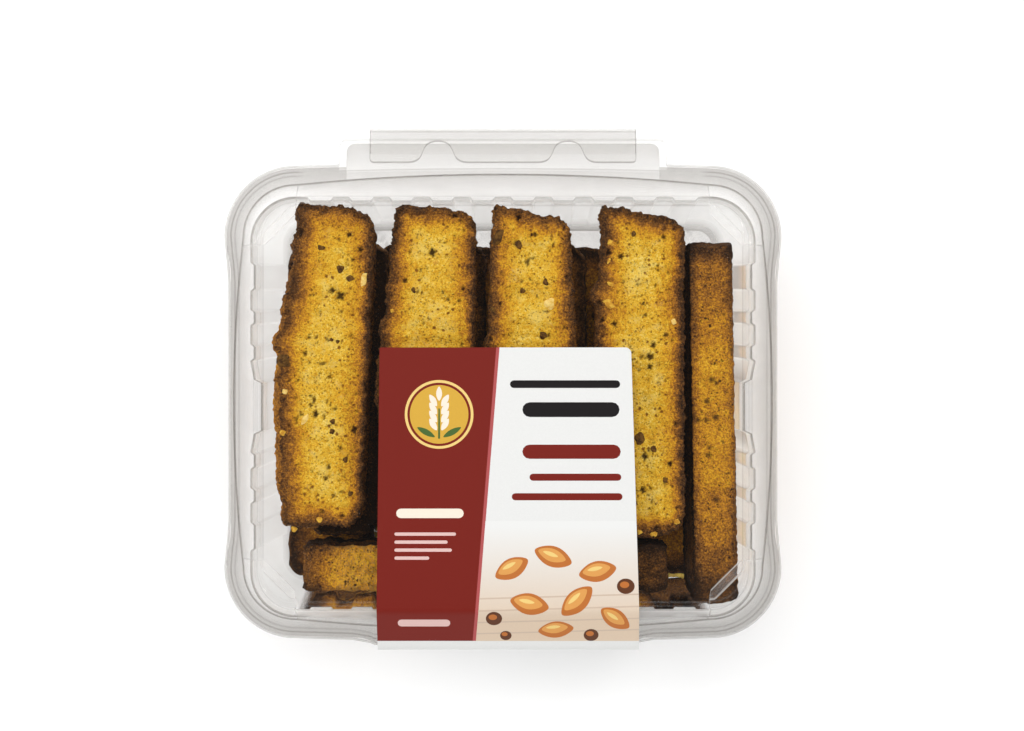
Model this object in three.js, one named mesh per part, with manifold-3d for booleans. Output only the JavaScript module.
// A closed, clear thermoformed clamshell pack of fifteen biscotti with a folded paper label.
// Units are millimetres. +X runs to the right, +Y to the hinge at the back, +Z up.
// The origin is at the middle of the pack's footprint, on the surface it stands on.

import * as THREE from 'three';
import { mergeVertices } from 'three/addons/utils/BufferGeometryUtils.js';
import Module from 'manifold-3d';

const wasm = await Module();
wasm.setup();

// ---------------------------------------------------------------- driving dimensions

const GAP = 0.3;                  // clearance kept between touching pieces

// Every outline of the pack is this rectangle grown by a corner radius.
const CORE_X = 71;                // half length of the straight front and back edges
const CORE_Y = 56.5;              // half length of the straight left and right edges
const CORNER_STEPS = 7;           // segments in each rounded corner

// Tray
const TRAY_WALL = 0.5;            // sheet thickness
const FLANGE_Z = 49.5;            // underside of the tray's flange
const FOOT_RADIUS = 6;            // outline of the foot ring that stands on the table
const FLOOR_Z = 2.5;              // underside of the raised floor
const FLOOR_INSET = 9;            // how far the raised floor's core lies inside CORE_X and CORE_Y
const FOOT_BEND = { radius: 7.9, z: 2.2 }; // where the foot turns up into the wall
const FLUTE_Z = 9;                // where the flutes reach full depth
const WALL_RADIUS = [9.1, 13.6, 14.6]; // wall outline at FLUTE_Z, at WALL_TOP_Z and at the flange
const WALL_TOP_Z = 45.5;
const FLUTE_DEPTH = 0.6;          // jog of the wall out of and into its mean outline
const GRIP_DEPTH = 2.2;           // how far the grip panels stand further in at the wall's top
const GRIP_HALF = 8.7;            // half width of a grip panel
const WALL_LEAN = 0.042;          // how far the tub leans to the front, for each unit of height above FLUTE_Z
const RIM_RADIUS = 23.9;          // outline of the flange at its corner ears
const RIM_LIP_Z = 47;             // lower edge of the turned-down lip
const RIM_ARCH = 1.2;             // outward arch of the front and back rim edges
const RIM_WAIST = 1.4;            // how far the left and right rim edges draw in between the ears
const WAIST_FROM = 54;            // the draw starts here on the edge and is complete at WAIST_TO
const WAIST_TO = 44;
const FRONT_TAB = { half: 42, ramp: 6.5, reach: 2.0 }; // the front rim is wider over this stretch

// Flutes: places along an edge, measured from its middle
const FLUTE_RAMP = 1.2;
const LONG_FLUTES = { count: 9, pitch: 13.85, half: 2.6, cornerEnd: 67 };
const SIDE_FLUTES = { centres: [12.4, 24.6, 36.4], half: 3.1, cornerEnd: 49.5 };

// Lid
const LID_WALL = 0.45;
const LID_FLANGE_Z = FLANGE_Z + TRAY_WALL + GAP + LID_WALL; // upper side of the lid's flange
const LID_EDGE_RADIUS = 23.3;
const LID_ROOT_RADIUS = 17.7;     // outline where the lid's dome leaves its flange, at the corners
const LID_BOW = { x: 3.3, y: 3.6 }; // outward bow of that outline along the sides and along front and back
const LID_PANEL_Z = 58.2;         // upper side of the lid's flat panel
const LID_BORDER_RADIUS = 13.3;   // outline of the panel
const LID_SHOULDER = 0.8;         // size of the rounding between dome wall and panel
const POCKET_LINE = 6.3;          // x + y of a pocket's upper crease, from the corner's centre
const POCKET_FOOT = 11.3;         // x + y of its lower crease
const POCKET_DEPTH = 3.3;
const POCKET_REACH = { x: 0.7, y: 2.8 }; // how far a pocket runs past the corner's centre
const POCKET_WALL = 0.6;          // run of the pockets' steep end walls

// Hinge tabs and tear strip at the back
const TRAY_TAB = { half: 56.1, back: 89.6, root: 80, radius: 3, z: FLANGE_Z + 0.1, thick: 0.3 };
const LID_TAB = { half: 53.4, back: 88.3, root: 79.6, radius: 3, z: LID_FLANGE_Z - 0.35, thick: 0.25 };
const STRIP = {
  half: 45.5, front: 81.6, back: 93.4, thick: 0.35, cornerRadius: 1.4,
  top: 51.45, bottom: 48.6, lowerLeaf: 7,
  archCentre: 22.2, archHalf: 10.4, archHeight: 7.2, archHandle: 0.72,
};

// Label: a trapezium of paper over the panel, the front rim and part of the front wall
const LABEL = {
  thick: 0.25, back: 18.6,
  left: [-41.6, -42.8], right: [43.3, 46.5], // edges at its back end and at the rim
  cornerRadius: [0.6, 2.0],                  // left and right corners at its back end
  rimAt: 84.9, rimZ: 51.2, flapZ: [25, 9],
};

// Biscotti
const SLICE = { thick: 16.6, height: 31.2, shoulder: 1.1, softness: 0.8 };
const RIPPLE = { dome: 0.35, base: 0.15, ends: 0.3, longWave: 0.23, shortWave: 0.5 }; // uneven crust
const LAYER_GAP = 0.3;
const FLOOR_TOP = FLOOR_Z + TRAY_WALL;
const LAYER_Z = [0, 1, 2].map((layer) => FLOOR_TOP + LAYER_GAP + layer * (SLICE.thick + LAYER_GAP));

// The pack is centred between the strip at its back and the label at its front.
const CENTRE_Y = (STRIP.back - LABEL.rimAt) / 2;

// ---------------------------------------------------------------- small helpers

const smoothstep = (low, high, value) => {
  const share = Math.min(Math.max((value - low) / (high - low), 0), 1);
  return share * share * (3 - 2 * share);
};

function meshGeometry(vertices, triangles) {
  const geometry = new THREE.BufferGeometry();
  geometry.setAttribute('position', new THREE.Float32BufferAttribute(vertices.flat(), 3));
  geometry.setIndex(triangles.flat());
  return geometry;
}

/** Six times the signed volume of a closed mesh: negative where its faces point in. */
function signedVolume(vertices, triangles) {
  const point = (index) => new THREE.Vector3(...vertices[index]);
  return triangles.reduce((sum, [a, b, c]) => sum + point(a).dot(point(b).cross(point(c))), 0);
}

function outwardGeometry(vertices, triangles) {
  const flip = signedVolume(vertices, triangles) < 0;
  return meshGeometry(vertices, flip ? triangles.map(([a, b, c]) => [a, c, b]) : triangles);
}

function toManifold(geometry) {
  const bare = geometry.clone();
  bare.deleteAttribute('normal');
  bare.deleteAttribute('uv');
  const merged = mergeVertices(bare, 1e-4);
  return new wasm.Manifold(new wasm.Mesh({
    numProp: 3,
    vertProperties: new Float32Array(merged.attributes.position.array),
    triVerts: new Uint32Array(merged.index.array),
  }));
}

function fromManifold(solid) {
  const mesh = solid.getMesh();
  const geometry = new THREE.BufferGeometry();
  geometry.setAttribute('position', new THREE.BufferAttribute(new Float32Array(mesh.vertProperties), 3));
  geometry.setIndex(Array.from(mesh.triVerts));
  return geometry;
}

const joined = (...geometries) =>
  fromManifold(geometries.map(toManifold).reduce((whole, piece) => whole.add(piece)));

/** A flat plate: an outline in X and Y, extruded up from a height. */
function plate(shape, bottom, thick) {
  const geometry = new THREE.ExtrudeGeometry(shape, { depth: thick, bevelEnabled: false, curveSegments: 6 });
  geometry.translate(0, 0, bottom);
  return geometry;
}

// ---------------------------------------------------------------- the pack's outline

/** One place on the outline: its spot on the core rectangle and the way out from it. */
function column(coreX, coreY, outX, outY, traits) {
  return { coreX, coreY, outX, outY, side: 'corner', along: 0, ...traits };
}

/** Columns all the way round, anticlockwise from the right edge's front end. */
function outlineColumns(longStops, sideStops) {
  const columns = [];
  const edge = (side, stops, place) => stops.forEach((along) =>
    columns.push(column(...place(along), { side, along })));
  const corner = (signX, signY, firstTurn) => {
    for (let step = 0; step <= CORNER_STEPS; step += 1) {
      const turn = (firstTurn + step / CORNER_STEPS) * Math.PI / 2;
      columns.push(column(signX * CORE_X, signY * CORE_Y, Math.cos(turn), Math.sin(turn), {}));
    }
  };
  const longDown = [...longStops].reverse();
  const sideDown = [...sideStops].reverse();
  edge('side', sideStops, (along) => [CORE_X, along, 1, 0]);
  corner(1, 1, 0);
  edge('long', longDown, (along) => [along, CORE_Y, 0, 1]);
  corner(-1, 1, 1);
  edge('side', sideDown, (along) => [-CORE_X, along, -1, 0]);
  corner(-1, -1, 2);
  edge('long', longStops, (along) => [along, -CORE_Y, 0, -1]);
  corner(1, -1, 3);
  return columns;
}

const coreHalf = (col) => (col.side === 'long' ? CORE_X : CORE_Y);

/** 1 in the middle of an edge, falling to 0 at the corners. */
const archAt = (col) => (col.side === 'corner' ? 0 : 1 - (col.along / coreHalf(col)) ** 2);

const waistAt = (col) => (col.side === 'side' ? smoothstep(WAIST_FROM, WAIST_TO, Math.abs(col.along)) : 0);

const frontTabAt = (col) =>
  (col.side === 'long' && col.coreY < 0
    ? smoothstep(FRONT_TAB.half + FRONT_TAB.ramp, FRONT_TAB.half, Math.abs(col.along)) : 0);

/** The flanges' outline: arched at front and back, drawn in along the sides and wider at the front tab. */
const rimReach = (radius) => (col) =>
  radius + (col.side === 'long' ? RIM_ARCH * archAt(col) : 0) - RIM_WAIST * waistAt(col)
  + FRONT_TAB.reach * frontTabAt(col);

/** How far the tub's walls lie nearer to the front at a height. */
const wallLeanAt = (z) => WALL_LEAN * (z - FLUTE_Z);

/** Where a ring of a shell passes a column. */
function ringPoint(ring, col) {
  const scaleX = (ring.coreX ?? CORE_X) / CORE_X;
  const scaleY = (ring.coreY ?? CORE_Y) / CORE_Y;
  const radius = ring.radius(col);
  return [
    col.coreX * scaleX + col.outX * radius,
    col.coreY * scaleY + col.outY * radius - (ring.lean ?? 0),
    ring.height(col),
  ];
}

/** A column's ring points moved square to the sheet by its thickness, in the column's own plane. */
function offsetSection(points, col, thickness) {
  const flat = points.map(([x, y, z]) => new THREE.Vector2(x * col.outX + y * col.outY, z));
  const ways = flat.slice(1).map((point, index) => point.clone().sub(flat[index]).normalize());
  const normals = [new THREE.Vector2(1, 0), ...ways, ways[ways.length - 1]]
    .map((way) => new THREE.Vector2(-way.y, way.x));
  return points.map(([x, y, z], index) => {
    const before = normals[index];
    const after = normals[index + 1];
    const reach = thickness / (1 + before.dot(after));
    const shift = before.clone().add(after).multiplyScalar(reach);
    return [x + col.outX * shift.x, y + col.outY * shift.x, z + shift.y];
  });
}

/**
 * A thin shell. Its rings run outwards from a flat middle, and the sheet lies on the left of
 * that way for a positive thickness and on the right for a negative one.
 */
function shell(columns, rings, thickness) {
  const vertices = [];
  const triangles = [];
  const count = columns.length;
  const depth = rings.length;
  columns.forEach((col) => {
    const face = rings.map((ring) => ringPoint(ring, col));
    vertices.push(...face, ...offsetSection(face, col, thickness));
  });
  const at = (col, ring, far) => (col % count) * 2 * depth + (far ? depth : 0) + ring;
  const quad = (a, b, c, d) => triangles.push([a, b, c], [a, c, d]);
  for (let col = 0; col < count; col += 1) {
    for (let ring = 0; ring + 1 < depth; ring += 1) {
      const [next, after] = [col + 1, ring + 1];
      quad(at(col, ring, false), at(col, after, false), at(next, after, false), at(next, ring, false));
      quad(at(col, ring, true), at(next, ring, true), at(next, after, true), at(col, after, true));
    }
    const last = depth - 1;
    quad(at(col, last, false), at(col, last, true), at(col + 1, last, true), at(col + 1, last, false));
  }
  const middle = columns.map((col) => new THREE.Vector2(...ringPoint(rings[0], col)));
  THREE.ShapeUtils.triangulateShape(middle, []).forEach(([a, b, c]) => {
    triangles.push([at(a, 0, false), at(b, 0, false), at(c, 0, false)]);
    triangles.push([at(a, 0, true), at(c, 0, true), at(b, 0, true)]);
  });
  return outwardGeometry(vertices, triangles);
}

// ---------------------------------------------------------------- tray

/** The stops of a row of flutes, with the jog of the wall at each: 1 is out and -1 is in. */
function fluteStops(centres, half, cornerEnd) {
  const outer = [[-cornerEnd, 1], [-cornerEnd + FLUTE_RAMP, -1]];
  const flutes = centres.flatMap((centre) => [
    [centre - half - FLUTE_RAMP, -1], [centre - half, 1], [centre + half, 1], [centre + half + FLUTE_RAMP, -1],
  ]);
  return [...outer, ...flutes, ...outer.map(([along, jog]) => [-along, jog]).reverse()];
}

function longFlutes() {
  const { count, pitch, half, cornerEnd } = LONG_FLUTES;
  const centres = Array.from({ length: count }, (_, index) => (index - (count - 1) / 2) * pitch);
  return fluteStops(centres, half, cornerEnd);
}

/** The flutes nearest the middle of a side end at its grip panel. */
function sideFlutes() {
  const { centres, half, cornerEnd } = SIDE_FLUTES;
  const both = [...centres.map((centre) => -centre).reverse(), ...centres];
  return fluteStops(both, half, cornerEnd).map(([along, jog]) => {
    const atGrip = Math.abs(along) < GRIP_HALF + FLUTE_RAMP / 2;
    return [atGrip ? Math.sign(along) * (GRIP_HALF - FLUTE_RAMP / 2) : along, jog];
  });
}

function trayColumns() {
  const long = longFlutes();
  const side = sideFlutes();
  const columns = outlineColumns(long.map(([along]) => along), side.map(([along]) => along));
  const jogOf = { long: new Map(long), side: new Map(side) };
  return columns.map((col) => ({
    ...col,
    jog: col.side === 'corner' ? 1 : jogOf[col.side].get(col.along),
    grip: col.side === 'side' && Math.abs(col.along) < GRIP_HALF ? 1 : 0,
  }));
}

function trayGeometry() {
  const plain = (radius, z, core = {}) => ({ radius: () => radius, height: () => z, ...core });
  const fluted = (radius, z) => {
    const rise = (z - FLUTE_Z) / (WALL_TOP_Z - FLUTE_Z);
    return {
      radius: (col) => radius + col.jog * FLUTE_DEPTH - col.grip * GRIP_DEPTH * rise,
      height: () => z,
      lean: wallLeanAt(z),
    };
  };
  const rim = (z) => ({ radius: rimReach(RIM_RADIUS), height: () => z });
  const floorCore = { coreX: CORE_X - FLOOR_INSET, coreY: CORE_Y - FLOOR_INSET };
  const footCore = { coreX: CORE_X - FLOOR_INSET + 2, coreY: CORE_Y - FLOOR_INSET + 2 };
  const rings = [
    plain(FOOT_RADIUS - 1, FLOOR_Z, floorCore),
    plain(FOOT_RADIUS - 1, 0, footCore),
    plain(FOOT_RADIUS, 0),
    plain(FOOT_BEND.radius, FOOT_BEND.z),
    fluted(WALL_RADIUS[0], FLUTE_Z),
    fluted(WALL_RADIUS[1], WALL_TOP_Z),
    fluted(WALL_RADIUS[2], FLANGE_Z),
    rim(FLANGE_Z),
    rim(RIM_LIP_Z),
  ];
  return joined(shell(trayColumns(), rings, TRAY_WALL), tabGeometry(TRAY_TAB));
}

/** A flat tab that widens a flange at the back. */
function tabGeometry({ half, back, root, radius, z, thick }) {
  const shape = new THREE.Shape();
  shape.moveTo(-half, root);
  shape.lineTo(half, root);
  shape.lineTo(half, back - radius);
  shape.absarc(half - radius, back - radius, radius, 0, Math.PI / 2, false);
  shape.lineTo(-half + radius, back);
  shape.absarc(-half + radius, back - radius, radius, Math.PI / 2, Math.PI, false);
  shape.closePath();
  return plate(shape, z, thick);
}

// ---------------------------------------------------------------- lid

/** Distance along a column from the core rectangle to a line x + y = reach round its corner. */
function creaseRadius(col, reach) {
  if (col.side === 'corner') return reach / (Math.abs(col.outX) + Math.abs(col.outY));
  return reach + coreHalf(col) - Math.abs(col.along);
}

const inPocket = (col) => col.side === 'corner' || col.pocket;

/** Height of the lid's upper side at a column and radius: the panel, less the corner pockets. */
function panelHeight(col, radius) {
  if (!inPocket(col)) return LID_PANEL_Z;
  const upper = creaseRadius(col, POCKET_LINE);
  const lower = creaseRadius(col, POCKET_FOOT);
  const share = Math.min(Math.max((radius - upper) / (lower - upper), 0), 1);
  return LID_PANEL_Z - POCKET_DEPTH * share;
}

function lidColumns() {
  const pocketEnds = { long: CORE_X - POCKET_REACH.x, side: CORE_Y - POCKET_REACH.y };
  const stops = (pocketEnd, segments, extra = []) => {
    const inner = pocketEnd - POCKET_WALL;
    const middle = Array.from({ length: segments + 1 }, (_, index) => inner * (2 * index / segments - 1));
    return [-pocketEnd, ...middle, ...extra, pocketEnd].sort((first, second) => first - second);
  };
  const tabEnds = [FRONT_TAB.half, FRONT_TAB.half + FRONT_TAB.ramp].flatMap((along) => [-along, along]);
  const columns = outlineColumns(stops(pocketEnds.long, 8, tabEnds), stops(pocketEnds.side, 8));
  return columns.map((col) => ({ ...col, pocket: Math.abs(col.along) === pocketEnds[col.side] }));
}

function lidGeometry() {
  const bow = (col) => archAt(col) * (col.side === 'side' ? LID_BOW.x : LID_BOW.y);
  const onPanel = (reach, inset) => {
    const radius = (col) => {
      const straight = LID_BORDER_RADIUS - inset;
      return inPocket(col) ? Math.min(creaseRadius(col, reach), straight) : straight;
    };
    return { radius, height: (col) => panelHeight(col, radius(col)) };
  };
  const border = {
    radius: () => LID_BORDER_RADIUS,
    height: (col) => panelHeight(col, LID_BORDER_RADIUS),
  };
  const shoulder = {
    radius: () => LID_BORDER_RADIUS + LID_SHOULDER,
    height: (col) => panelHeight(col, LID_BORDER_RADIUS) - LID_SHOULDER,
  };
  const root = { radius: (col) => LID_ROOT_RADIUS + bow(col), height: () => LID_FLANGE_Z };
  const edge = { radius: rimReach(LID_EDGE_RADIUS), height: () => LID_FLANGE_Z };
  const rings = [onPanel(POCKET_LINE, 3.2), onPanel(POCKET_FOOT, 1.2), border, shoulder, root, edge];
  return joined(shell(lidColumns(), rings, -LID_WALL), tabGeometry(LID_TAB));
}

// ---------------------------------------------------------------- tear strip

/** A strip folded round the tabs' back edge: an upper leaf with two finger arches, a bend and a lower leaf. */
function tearStripGeometry() {
  const { half, front, back, thick, cornerRadius, top, bottom, lowerLeaf } = STRIP;
  const { archCentre, archHalf, archHeight, archHandle } = STRIP;
  const archTop = front + archHeight;
  const bend = (top - bottom) / 2;
  const straightEnd = back - bend;

  const leaf = new THREE.Shape();
  leaf.moveTo(-half, straightEnd + thick);
  leaf.lineTo(-half, front + cornerRadius);
  leaf.quadraticCurveTo(-half, front, -half + cornerRadius, front);
  for (const centre of [-archCentre, archCentre]) {
    const [left, right] = [centre - archHalf * archHandle, centre + archHalf * archHandle];
    leaf.lineTo(centre - archHalf, front);
    leaf.bezierCurveTo(left, front, left, archTop, centre, archTop);
    leaf.bezierCurveTo(right, archTop, right, front, centre + archHalf, front);
  }
  leaf.lineTo(half - cornerRadius, front);
  leaf.quadraticCurveTo(half, front, half, front + cornerRadius);
  leaf.lineTo(half, straightEnd + thick);
  leaf.closePath();

  const fold = new THREE.Shape();
  fold.moveTo(straightEnd, top);
  fold.absarc(straightEnd, bottom + bend, bend, Math.PI / 2, -Math.PI / 2, true);
  fold.lineTo(straightEnd - lowerLeaf, bottom);
  fold.lineTo(straightEnd - lowerLeaf, bottom + thick);
  fold.lineTo(straightEnd, bottom + thick);
  fold.absarc(straightEnd, bottom + bend, bend - thick, -Math.PI / 2, Math.PI / 2, false);
  fold.closePath();
  const foldSettings = { depth: 2 * half, bevelEnabled: false, curveSegments: 8 };
  const foldGeometry = new THREE.ExtrudeGeometry(fold, foldSettings);
  foldGeometry.rotateX(Math.PI / 2);
  foldGeometry.rotateZ(Math.PI / 2);
  foldGeometry.translate(-half, 0, 0);
  return joined(plate(leaf, top - thick, thick), foldGeometry);
}

// ---------------------------------------------------------------- label

/** The label's run from its back end over the panel, down to the rim and on to the front wall. */
function labelRun() {
  const onPanel = LID_PANEL_Z + GAP;
  const panelEdge = -(CORE_Y + LID_BORDER_RADIUS);
  const wallAt = (z) => {
    const rise = (z - FLUTE_Z) / (WALL_TOP_Z - FLUTE_Z);
    const radius = WALL_RADIUS[0] + (WALL_RADIUS[1] - WALL_RADIUS[0]) * rise;
    return -(CORE_Y + radius + FLUTE_DEPTH + GAP + wallLeanAt(z));
  };
  const { back, rimAt, rimZ, flapZ } = LABEL;
  const thick = LABEL.thick;
  return [
    [back, onPanel],
    [panelEdge - 0.3, onPanel],
    [panelEdge - 1.5, onPanel - 0.4],
    [-rimAt + thick + 1.2, rimZ],
    [-rimAt + thick + 0.2, rimZ - 1.1],
    [-rimAt + thick, rimZ - 2.6],
    [-rimAt + thick + 0.1, rimZ - 4.6],
    [wallAt(flapZ[0]), flapZ[0]],
    [wallAt(flapZ[1]), flapZ[1]],
  ];
}

function labelGeometry() {
  const { thick, back, left, right, cornerRadius, rimAt, rimZ } = LABEL;
  const run = labelRun();
  // The label widens towards the rim and keeps that width below it.
  const edgeX = (ends, row) =>
    ends[0] + (ends[1] - ends[0]) * (row.z < rimZ ? 1 : (back - row.y) / (back + rimAt));

  // Rows across the label: extra ones round its two back corners.
  const roundRows = [0, 0.08, 0.3, 0.6, 1].map((share) => share * Math.max(...cornerRadius));
  const rows = roundRows.map((down) => ({ y: back - down, z: run[0][1], down }));
  run.slice(1).forEach(([y, z]) => rows.push({ y, z, down: back }));
  const inset = (radius, down) =>
    (down < radius ? radius - Math.sqrt(radius * radius - (radius - down) ** 2) : 0);

  const ways = rows.slice(1).map((row, index) =>
    new THREE.Vector2(row.y - rows[index].y, row.z - rows[index].z).normalize());
  const normals = [ways[0], ...ways, ways[ways.length - 1]].map((way) => new THREE.Vector2(way.y, -way.x));
  const vertices = rows.flatMap((row, index) => {
    const shift = normals[index].clone().add(normals[index + 1])
      .multiplyScalar(thick / (1 + normals[index].dot(normals[index + 1])));
    const ends = [
      edgeX(left, row) + inset(cornerRadius[0], row.down),
      edgeX(right, row) - inset(cornerRadius[1], row.down),
    ];
    return [
      [ends[0], row.y, row.z], [ends[1], row.y, row.z],
      [ends[1], row.y + shift.x, row.z + shift.y], [ends[0], row.y + shift.x, row.z + shift.y],
    ];
  });
  const triangles = [[0, 1, 2], [0, 2, 3]];
  const lastRow = 4 * (rows.length - 1);
  triangles.push([lastRow, lastRow + 2, lastRow + 1], [lastRow, lastRow + 3, lastRow + 2]);
  for (let row = 0; row + 1 < rows.length; row += 1) {
    for (let side = 0; side < 4; side += 1) {
      const [a, b] = [4 * row + side, 4 * row + (side + 1) % 4];
      triangles.push([a, a + 4, b + 4], [a, b + 4, b]);
    }
  }
  return outwardGeometry(vertices, triangles);
}

// ---------------------------------------------------------------- biscotti

/**
 * The outline of a slice's cut face. It lies along Y. Its left side is the log's domed and bumpy
 * top, its right side the log's nearly flat base, and both ends may slope.
 */
function sliceOutline(slice) {
  const { length, width, dome = 2, baseDome = 0, slopes = [0, 0], bumps = [], phase = 0 } = slice;
  const radii = slice.radii ?? [6, 5, 5, 6]; // back left, back right, front right, front left
  const [halfX, halfY] = [width / 2, length / 2];
  const points = [];
  const arc = (signX, signY, radius, firstTurn) => {
    for (let step = 0; step <= 3; step += 1) {
      const turn = (firstTurn + step / 3) * Math.PI / 2;
      const centre = [signX * (halfX - radius), signY * (halfY - radius)];
      points.push([centre[0] + radius * Math.cos(turn), centre[1] + radius * Math.sin(turn)]);
    }
  };
  const straight = (from, to, segments) => {
    for (let step = 1; step < segments; step += 1) {
      const share = step / segments;
      points.push([from[0] + (to[0] - from[0]) * share, from[1] + (to[1] - from[1]) * share]);
    }
  };
  arc(1, 1, radii[1], 0);
  straight([halfX - radii[1], halfY], [-halfX + radii[0], halfY], 4);
  arc(-1, 1, radii[0], 1);
  straight([-halfX, halfY - radii[0]], [-halfX, -halfY + radii[3]], 8);
  arc(-1, -1, radii[3], 2);
  straight([-halfX + radii[3], -halfY], [halfX - radii[2], -halfY], 4);
  arc(1, -1, radii[2], 3);
  straight([halfX, -halfY + radii[2]], [halfX, halfY - radii[1]], 8);

  const ripple = (value, wave) =>
    Math.sin(value * wave + phase) + 0.6 * Math.sin(value * wave * 2.3 + 2 * phase);
  const bumpAt = (bump, y) => bump.size * Math.exp(-(((y - bump.y) / bump.reach) ** 2));
  return points.map(([x, y]) => {
    const [shareX, shareY] = [x / halfX, y / halfY];
    const leftness = Math.max(-shareX, 0);
    const domed = (1 - shareY * shareY) * (dome * leftness - baseDome * Math.max(shareX, 0));
    const bumped = bumps.reduce((sum, bump) => sum + bumpAt(bump, y), 0) * leftness;
    const rippleX = (shareX < 0 ? RIPPLE.dome : RIPPLE.base) * ripple(y, RIPPLE.longWave) * Math.abs(shareX);
    const rippleY = RIPPLE.ends * ripple(x, RIPPLE.shortWave) * Math.abs(shareY);
    const slope = (shareY > 0 ? slopes[0] : slopes[1]) * (x / halfX) * shareY * shareY;
    return [x - domed - bumped + rippleX, y + slope + rippleY];
  });
}

/**
 * A slice lying on one cut face, with its other cut face up and softly rounded crust edges. Its
 * back end may slant, so that it is shorter at the bottom.
 */
function sliceGeometry(slice) {
  const outline = sliceOutline(slice);
  const thick = slice.thick ?? SLICE.thick;
  const slant = slice.slant ?? 0;
  const { shoulder, softness } = SLICE;
  const roundEnd = slice.roundFace ?? { shoulder, softness };
  const levels = [[0, softness], [shoulder, 0], [thick - roundEnd.shoulder, 0], [thick, roundEnd.softness]];
  const count = outline.length;
  const vertices = levels.flatMap(([z, inset]) => outline.map(([x, y]) => {
    const shrinkX = 1 - inset / (slice.width / 2);
    const shrinkY = 1 - inset / (slice.length / 2);
    const slanted = slant * (1 - z / thick) * Math.max(2 * y / slice.length, 0);
    return [x * shrinkX, y * shrinkY - slanted, z];
  }));
  const triangles = [];
  for (let level = 0; level + 1 < levels.length; level += 1) {
    for (let index = 0; index < count; index += 1) {
      const next = (index + 1) % count;
      const [a, b] = [level * count + index, level * count + next];
      triangles.push([a, b, b + count], [a, b + count, a + count]);
    }
  }
  const face = outline.map(([x, y]) => new THREE.Vector2(x, y));
  const top = (levels.length - 1) * count;
  THREE.ShapeUtils.triangulateShape(face, []).forEach(([a, b, c]) => {
    triangles.push([a, c, b], [top + a, top + b, top + c]);
  });
  return outwardGeometry(vertices, triangles);
}

/**
 * Slices of the top layer, from left to right, with their places at the middles of their cut
 * faces. A slice may be turned a little, in degrees. Bumps give y, reach and size.
 */
const TOP_SLICES = [
  {
    x: -60.5, y: 12.3, turn: -2.3, length: 111, width: 28.4, dome: 0.3, slopes: [-0.1, 0.6],
    bumps: [
      { y: -4.5, reach: 35, size: 3.2 }, { y: 7.5, reach: 5, size: 2.2 }, { y: 47, reach: 4, size: -1.1 },
    ],
    radii: [3, 9, 8, 4], phase: 0.4,
  },
  {
    x: -23.3, y: 10.5, turn: -0.5, length: 113, width: 28.2, dome: 0.4, slopes: [-1.1, 0.4],
    bumps: [{ y: -4.5, reach: 38, size: 5.6 }, { y: -6.5, reach: 7, size: 1.1 }], radii: [4, 7, 5, 5],
    phase: 1.7,
  },
  {
    x: 11.5, y: 9.8, turn: 2.2, length: 111.6, width: 27.2, dome: 1.3, baseDome: 0.8, slopes: [-3.4, 0.5],
    radii: [2, 6, 6, 5], bumps: [{ y: -3.8, reach: 26, size: 4.2 }], phase: 2.9,
  },
  {
    x: 47.5, y: 9.2, turn: 0, length: 112.2, width: 29.3, dome: 0.6, slopes: [-3.0, 0.6],
    bumps: [{ y: 26.3, reach: 4, size: 2.0 }, { y: 2.8, reach: 24, size: 2.4 }], radii: [2, 5, 9, 5],
    phase: 4.1,
  },
];
const TOP_SLANT = 4;                         // leaves room for the tub's sloping back wall
// How far each middle slice lies to the right of the one above, and how it is turned.
const MIDDLE_SHIFT = [6.7, 4.9, 4.9, 0.4];
const MIDDLE_TURN = [-2.3, -0.5, -1.0, 0];
const MIDDLE = { y: 4.6, length: 104, widthShare: 0.88, phaseStep: 0.8 };
const BOTTOM = {
  count: 5, x: 0.2, y: -3.7, pitch: 31.25, length: 117.4, width: 30.2, dome: 0.3, slopes: [-1.0, 0.4],
};
const STANDING_LIFT = 0.3;                   // lets the uneven base of a standing slice clear what it rests on
const SIDE_SLICE = {
  x: 70.95, y: -6.8, lean: 2.5, turn: 1.0, length: 122.6, width: SLICE.height, thick: 15.6, dome: 0,
  slopes: [0, 2.2], radii: [5, 7, 9, 4], phase: 7.3, roundFace: { shoulder: 6, softness: 3.4 },
};
const CROSS_SLICE = {
  x: -6.2, y: -56.9, turn: 90, length: 126, width: SLICE.height, dome: 0, radii: [5, 6, 7, 4], phase: 8.6,
};

/** A slice that stands on its crust edge, its cut face turned upright about its long axis. */
function standingGeometry(slice) {
  const geometry = sliceGeometry(slice);
  geometry.translate(0, 0, -(slice.thick ?? SLICE.thick) / 2);
  geometry.rotateY(Math.PI / 2);
  geometry.translate(0, 0, slice.width / 2);
  geometry.rotateY(THREE.MathUtils.degToRad(slice.lean ?? 0));
  return geometry;
}

// ---------------------------------------------------------------- assembly

const pack = new THREE.Group();
pack.position.y = -CENTRE_Y;

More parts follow.
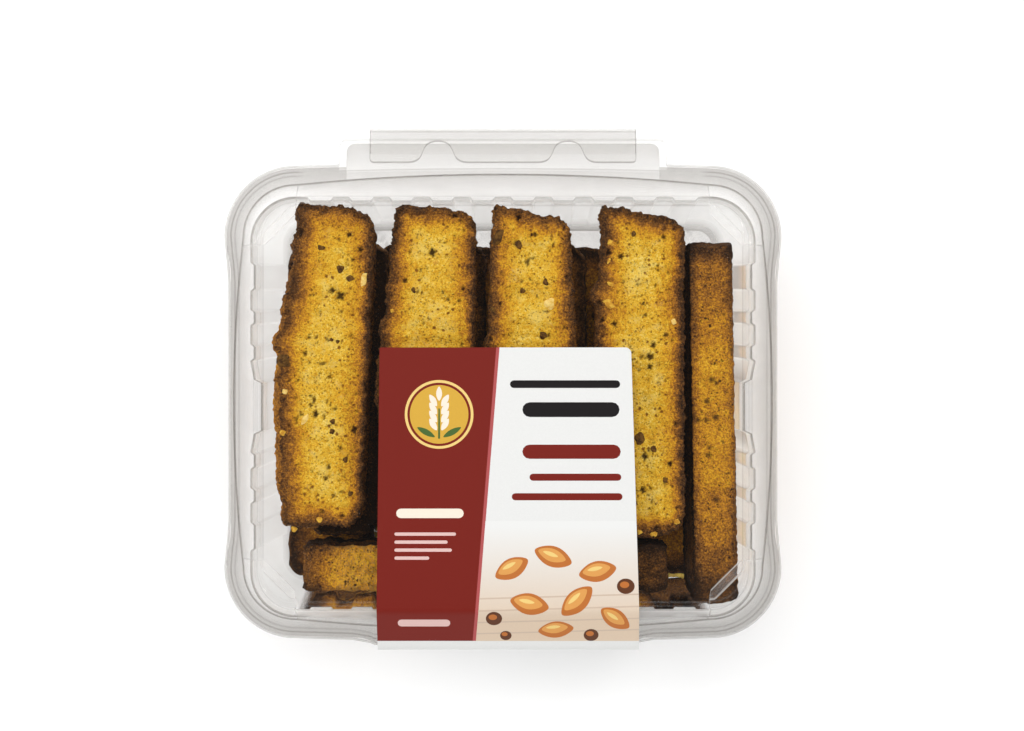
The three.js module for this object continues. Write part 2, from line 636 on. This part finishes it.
/** A named mesh in the pack. Its turn about the upright is in degrees. */
function addNode(name, geometry, material, place = [0, 0, 0], turn = 0) {
  const mesh = new THREE.Mesh(geometry, material);
  mesh.name = name;
  mesh.position.set(...place);
  mesh.rotation.z = THREE.MathUtils.degToRad(turn);
  pack.add(mesh);
}

const clearPlastic = () => new THREE.MeshStandardMaterial({ color: 0xe4e6e6, roughness: 0.08, metalness: 0 });
const bakedSlice = () => new THREE.MeshStandardMaterial({ color: 0xcf9236, roughness: 0.9, metalness: 0 });
const paper = () => new THREE.MeshStandardMaterial({ color: 0x8a2a24, roughness: 0.45, metalness: 0 });

addNode('tray', trayGeometry(), clearPlastic());
addNode('lid', lidGeometry(), clearPlastic());
addNode('tear_strip', tearStripGeometry(), clearPlastic());
addNode('label', labelGeometry(), paper());

TOP_SLICES.forEach((slice, index) => {
  const top = { ...slice, slant: TOP_SLANT };
  const topPlace = [slice.x, slice.y, LAYER_Z[2]];
  addNode(`biscuit_top_${index + 1}`, sliceGeometry(top), bakedSlice(), topPlace, slice.turn);
  const width = slice.width * MIDDLE.widthShare;
  const below = { ...slice, length: MIDDLE.length, width, phase: slice.phase + MIDDLE.phaseStep };
  const place = [slice.x + MIDDLE_SHIFT[index], MIDDLE.y, LAYER_Z[1]];
  addNode(`biscuit_middle_${index + 1}`, sliceGeometry(below), bakedSlice(), place, MIDDLE_TURN[index]);
});
for (let index = 0; index < BOTTOM.count; index += 1) {
  const slice = { ...BOTTOM, phase: 5 + 1.3 * index };
  const x = BOTTOM.x + (index - (BOTTOM.count - 1) / 2) * BOTTOM.pitch;
  addNode(`biscuit_bottom_${index + 1}`, sliceGeometry(slice), bakedSlice(), [x, BOTTOM.y, LAYER_Z[0]]);
}
for (const [name, slice] of [['biscuit_side', SIDE_SLICE], ['biscuit_cross', CROSS_SLICE]]) {
  const place = [slice.x, slice.y, LAYER_Z[1] + STANDING_LIFT];
  addNode(name, standingGeometry(slice), bakedSlice(), place, slice.turn);
}

export default pack;
